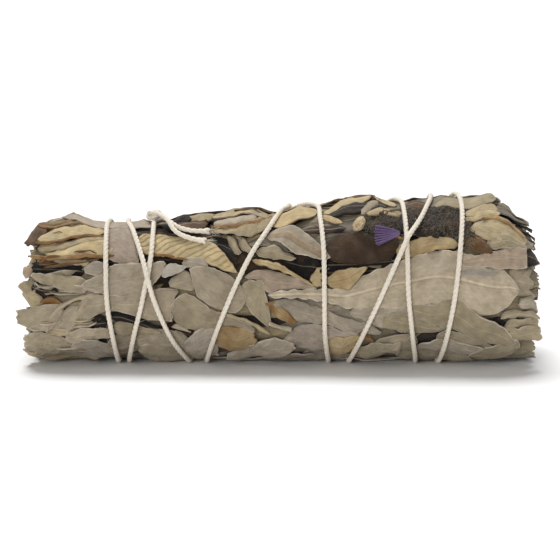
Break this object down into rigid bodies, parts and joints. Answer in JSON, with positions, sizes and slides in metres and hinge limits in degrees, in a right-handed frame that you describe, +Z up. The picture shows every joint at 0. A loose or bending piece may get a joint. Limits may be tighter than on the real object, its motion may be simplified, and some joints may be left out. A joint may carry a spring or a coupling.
{
  "type": "sage bunch",
  "caption": "Dried sage leaves and woody stems rolled into a short thick bunch, lying down and wound with crossing cotton string tied in a small knot, with one pleated petal.",
  "frame": {"origin": "on the surface that the bunch lies on, below the middle of its bounding box", "axes": "+X along the bunch towards its cut stem ends, +Y away from the face with the knot's tails and the petal, +Z up from the surface"},
  "size_m": [0.1077, 0.0398, 0.0359],
  "materials": {
    "sage_leaf": "dry, matt, downy grey-green to taupe leaf",
    "ochre_leaf": "dry, matt, tan to ochre leaf with brown ribs",
    "brown_leaf": "dry, matt, dark brown mottled leaf",
    "charcoal_leaf": "dry, matt, near-black leaf with pale down",
    "sage_stem": "dry bark with a pale cut end",
    "cotton_string": "undyed twisted cotton, matt and slightly hairy",
    "statice_petal": "dry, papery purple calyx",
    "dry_bud": "dry, matt, pebbled cream bud"
  },
  "bodies": {
    "root": {"sage_leaves_front": "sage_leaf", "ochre_leaves_front": "ochre_leaf", "mixed_leaves_top": "ochre_leaf", "sage_leaves_back_high": "sage_leaf", "sage_leaves_back_low": "sage_leaf", "sage_leaves_under": "sage_leaf", "dark_leaf": "brown_leaf", "fuzzy_leaf": "charcoal_leaf", "dark_petal": "charcoal_leaf", "woody_stem_1": "sage_stem", "woody_stem_2": "sage_stem", "woody_stem_3": "sage_stem", "woody_stem_4": "sage_stem", "woody_stem_5": "sage_stem", "binding_string": "cotton_string", "statice_flower": "statice_petal", "cream_bud": "dry_bud"}
  },
  "joints": []
}
